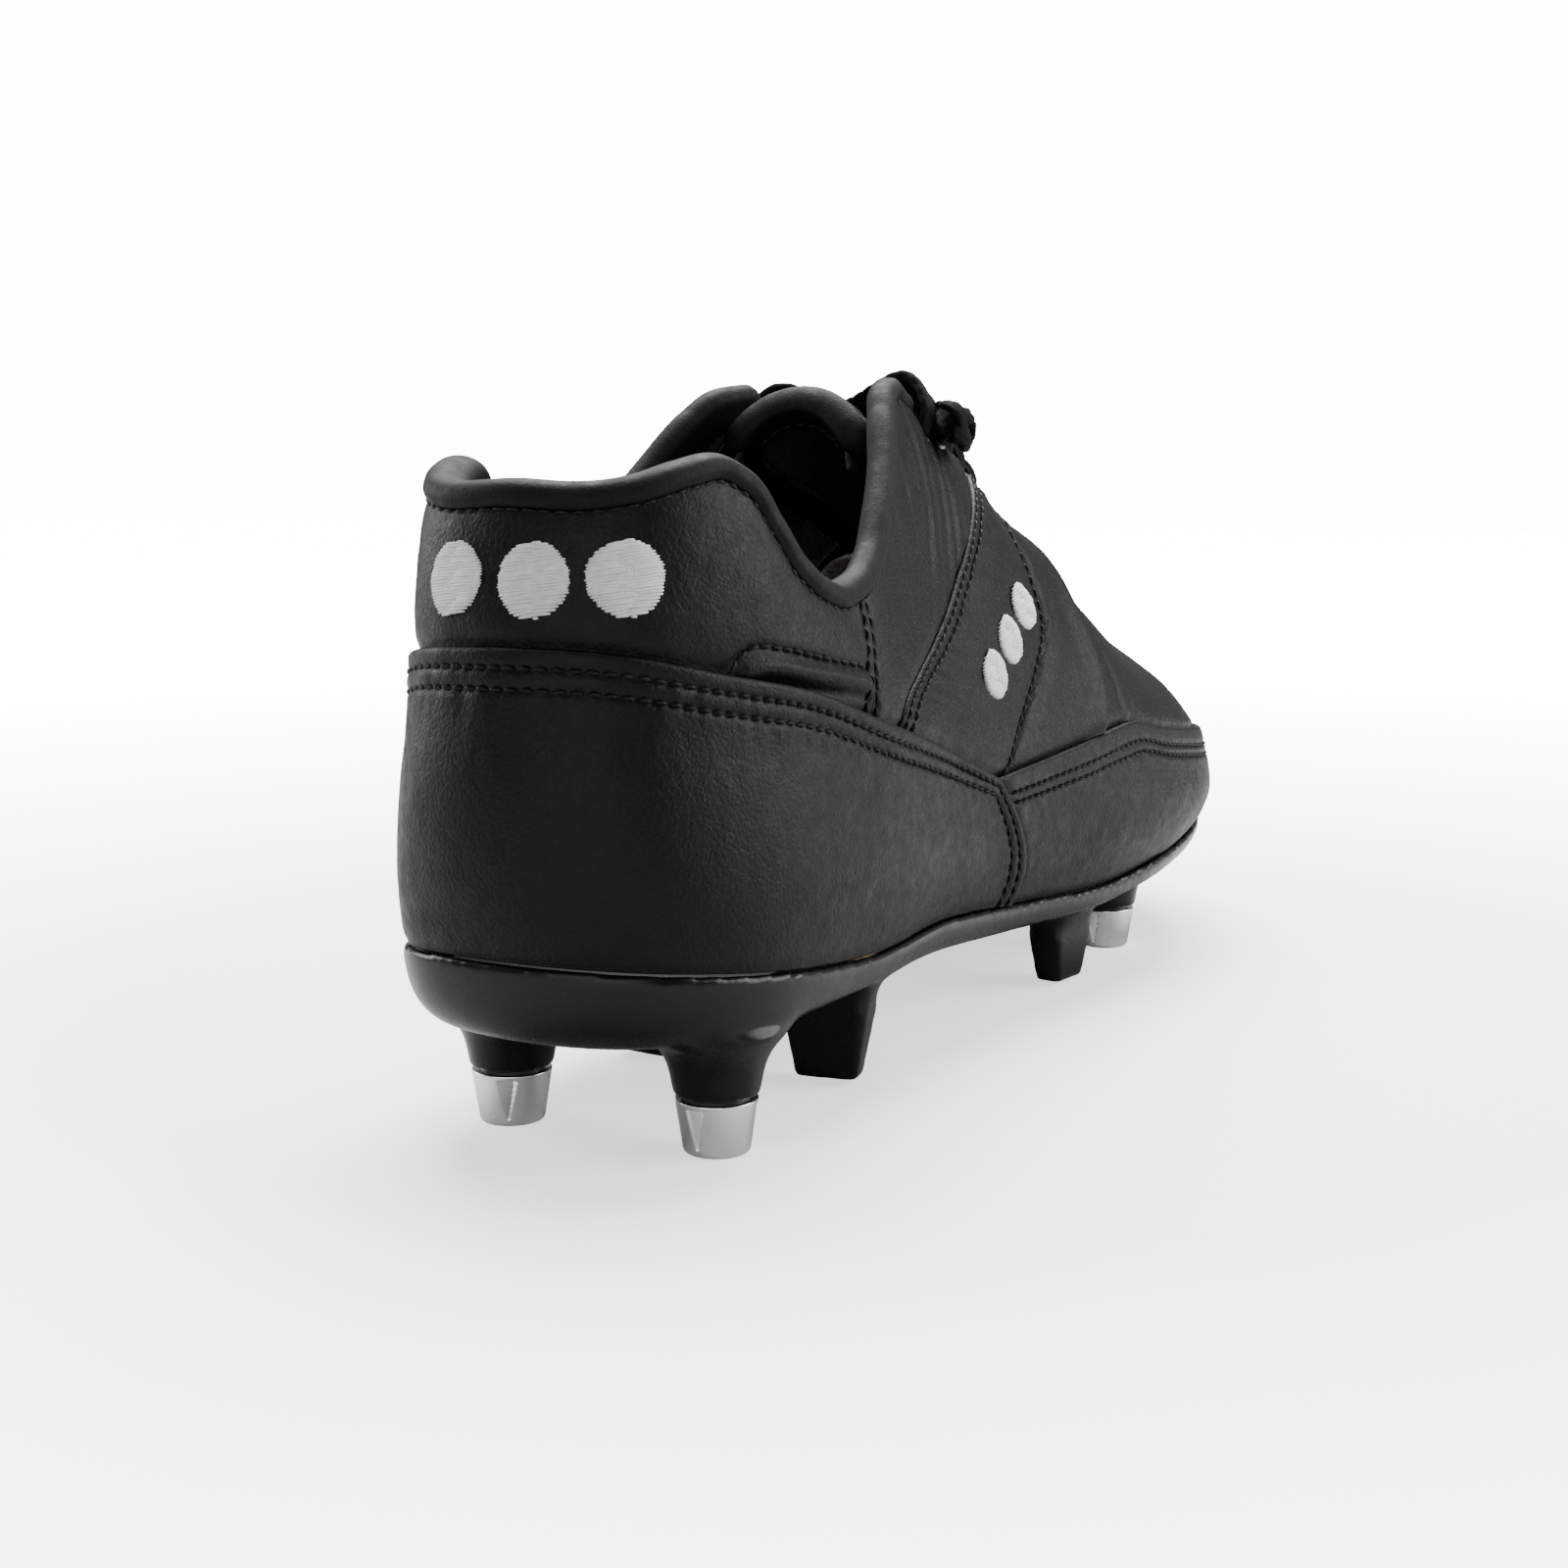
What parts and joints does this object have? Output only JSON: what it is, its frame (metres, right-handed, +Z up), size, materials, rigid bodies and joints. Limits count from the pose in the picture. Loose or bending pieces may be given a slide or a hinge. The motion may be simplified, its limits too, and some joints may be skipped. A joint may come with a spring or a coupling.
{
  "type": "soccer cleat",
  "caption": "Low-cut lace-up leather football boot on a moulded plate with cylindrical screw-in metal-tipped studs and moulded blades.",
  "frame": {"origin": "on the ground under the middle of the boot's box", "axes": "+X to the lateral side of this right boot, +Y to the toe, +Z up"},
  "size_m": [0.0952, 0.27, 0.1233],
  "materials": {
    "leather": "satin, fine grain",
    "plate_plastic": "satin gloss moulded",
    "stud_aluminium": "turned, bright",
    "pin_steel": "plain thread-rolled steel",
    "washer_nylon": "matte",
    "insert_brass": "turned",
    "white_thread": "satin stitch, slight sheen",
    "lace_braid": "flat braid",
    "board_fibre": "pressed fibre board",
    "sockliner_cloth": "brushed cloth",
    "forepart_lining": "plain woven lining",
    "collar_lining": "brushed knit",
    "foam": "open-cell foam",
    "stiffener_board": "thermoplastic sheet"
  },
  "bodies": {
    "shoe": {"collar_foam": "foam", "counter_cover": "leather", "heel_collar_panel": "leather", "heel_counter_stiffener": "stiffener_board", "heel_embroidery": "white_thread", "heel_lining": "collar_lining", "insole_board": "board_fibre", "lace": "lace_braid", "lateral_collar_binding": "leather", "lateral_embroidery": "white_thread", "lateral_facing_tape": "stiffener_board", "lateral_fore_band": "leather", "lateral_lining": "collar_lining", "lateral_quarter": "leather", "lateral_side_band": "leather", "medial_collar_binding": "leather", "medial_embroidery": "white_thread", "medial_facing_tape": "stiffener_board", "medial_fore_band": "leather", "medial_lining": "collar_lining", "medial_quarter": "leather", "medial_side_band": "leather", "mudguard": "leather", "mudguard_lining": "forepart_lining", "sockliner": "sockliner_cloth", "soleplate": "plate_plastic", "stud_inserts": "insert_brass", "toe_puff": "stiffener_board", "tongue_binding": "leather", "tongue_cover": "leather", "tongue_foam": "foam", "tongue_lining": "collar_lining", "vamp": "leather", "vamp_lining": "forepart_lining"},
    "ball_lateral_washer_feed": {"ball_lateral_lock_washer": "washer_nylon"},
    "ball_lateral_screw_stud": {"ball_lateral_stud": "stud_aluminium", "ball_lateral_stud_pin": "pin_steel"},
    "ball_medial_washer_feed": {"ball_medial_lock_washer": "washer_nylon"},
    "ball_medial_screw_stud": {"ball_medial_stud": "stud_aluminium", "ball_medial_stud_pin": "pin_steel"},
    "heel_lateral_washer_feed": {"heel_lateral_lock_washer": "washer_nylon"},
    "heel_lateral_screw_stud": {"heel_lateral_stud": "stud_aluminium", "heel_lateral_stud_pin": "pin_steel"},
    "heel_medial_washer_feed": {"heel_medial_lock_washer": "washer_nylon"},
    "heel_medial_screw_stud": {"heel_medial_stud": "stud_aluminium", "heel_medial_stud_pin": "pin_steel"},
    "toe_lateral_washer_feed": {"toe_lateral_lock_washer": "washer_nylon"},
    "toe_lateral_screw_stud": {"toe_lateral_stud": "stud_aluminium", "toe_lateral_stud_pin": "pin_steel"},
    "toe_medial_washer_feed": {"toe_medial_lock_washer": "washer_nylon"},
    "toe_medial_screw_stud": {"toe_medial_stud": "stud_aluminium", "toe_medial_stud_pin": "pin_steel"}
  },
  "joints": [
    {"name": "heel_lateral_stud_feed", "type": "slide", "parent": "shoe", "child": "heel_lateral_washer_feed", "axis": [0, 0, -1], "range_m": [0, 0.0068]},
    {"name": "heel_lateral_stud_turn", "type": "hinge", "parent": "heel_lateral_washer_feed", "child": "heel_lateral_screw_stud", "pos_m": [0.01942, -0.10609, 0.0085], "axis": [0, 0, -1], "range_deg": [0, 3061]},
    {"name": "heel_medial_stud_feed", "type": "slide", "parent": "shoe", "child": "heel_medial_washer_feed", "axis": [0, 0, -1], "range_m": [0, 0.0068]},
    {"name": "heel_medial_stud_turn", "type": "hinge", "parent": "heel_medial_washer_feed", "child": "heel_medial_screw_stud", "pos_m": [-0.01758, -0.10609, 0.0085], "axis": [0, 0, -1], "range_deg": [0, 3061]},
    {"name": "ball_lateral_stud_feed", "type": "slide", "parent": "shoe", "child": "ball_lateral_washer_feed", "axis": [0, 0, -1], "range_m": [0, 0.0068]},
    {"name": "ball_lateral_stud_turn", "type": "hinge", "parent": "ball_lateral_washer_feed", "child": "ball_lateral_screw_stud", "pos_m": [0.02642, 0.05991, 0.0085], "axis": [0, 0, -1], "range_deg": [0, 3061]},
    {"name": "ball_medial_stud_feed", "type": "slide", "parent": "shoe", "child": "ball_medial_washer_feed", "axis": [0, 0, -1], "range_m": [0, 0.0068]},
    {"name": "ball_medial_stud_turn", "type": "hinge", "parent": "ball_medial_washer_feed", "child": "ball_medial_screw_stud", "pos_m": [-0.02708, 0.05991, 0.0085], "axis": [0, 0, -1], "range_deg": [0, 3061]},
    {"name": "toe_lateral_stud_feed", "type": "slide", "parent": "shoe", "child": "toe_lateral_washer_feed", "axis": [0, 0, -1], "range_m": [0, 0.0068]},
    {"name": "toe_lateral_stud_turn", "type": "hinge", "parent": "toe_lateral_washer_feed", "child": "toe_lateral_screw_stud", "pos_m": [0.00992, 0.10491, 0.0085], "axis": [0, 0, -1], "range_deg": [0, 3061]},
    {"name": "toe_medial_stud_feed", "type": "slide", "parent": "shoe", "child": "toe_medial_washer_feed", "axis": [0, 0, -1], "range_m": [0, 0.0068]},
    {"name": "toe_medial_stud_turn", "type": "hinge", "parent": "toe_medial_washer_feed", "child": "toe_medial_screw_stud", "pos_m": [-0.01908, 0.10291, 0.0085], "axis": [0, 0, -1], "range_deg": [0, 3061]}
  ],
  "couplings": [
    {"joint": "heel_lateral_stud_turn", "follows": "heel_lateral_stud_feed", "rad_per_m": 7854},
    {"joint": "heel_medial_stud_turn", "follows": "heel_medial_stud_feed", "rad_per_m": 7854},
    {"joint": "ball_lateral_stud_turn", "follows": "ball_lateral_stud_feed", "rad_per_m": 7854},
    {"joint": "ball_medial_stud_turn", "follows": "ball_medial_stud_feed", "rad_per_m": 7854},
    {"joint": "toe_lateral_stud_turn", "follows": "toe_lateral_stud_feed", "rad_per_m": 7854},
    {"joint": "toe_medial_stud_turn", "follows": "toe_medial_stud_feed", "rad_per_m": 7854}
  ]
}
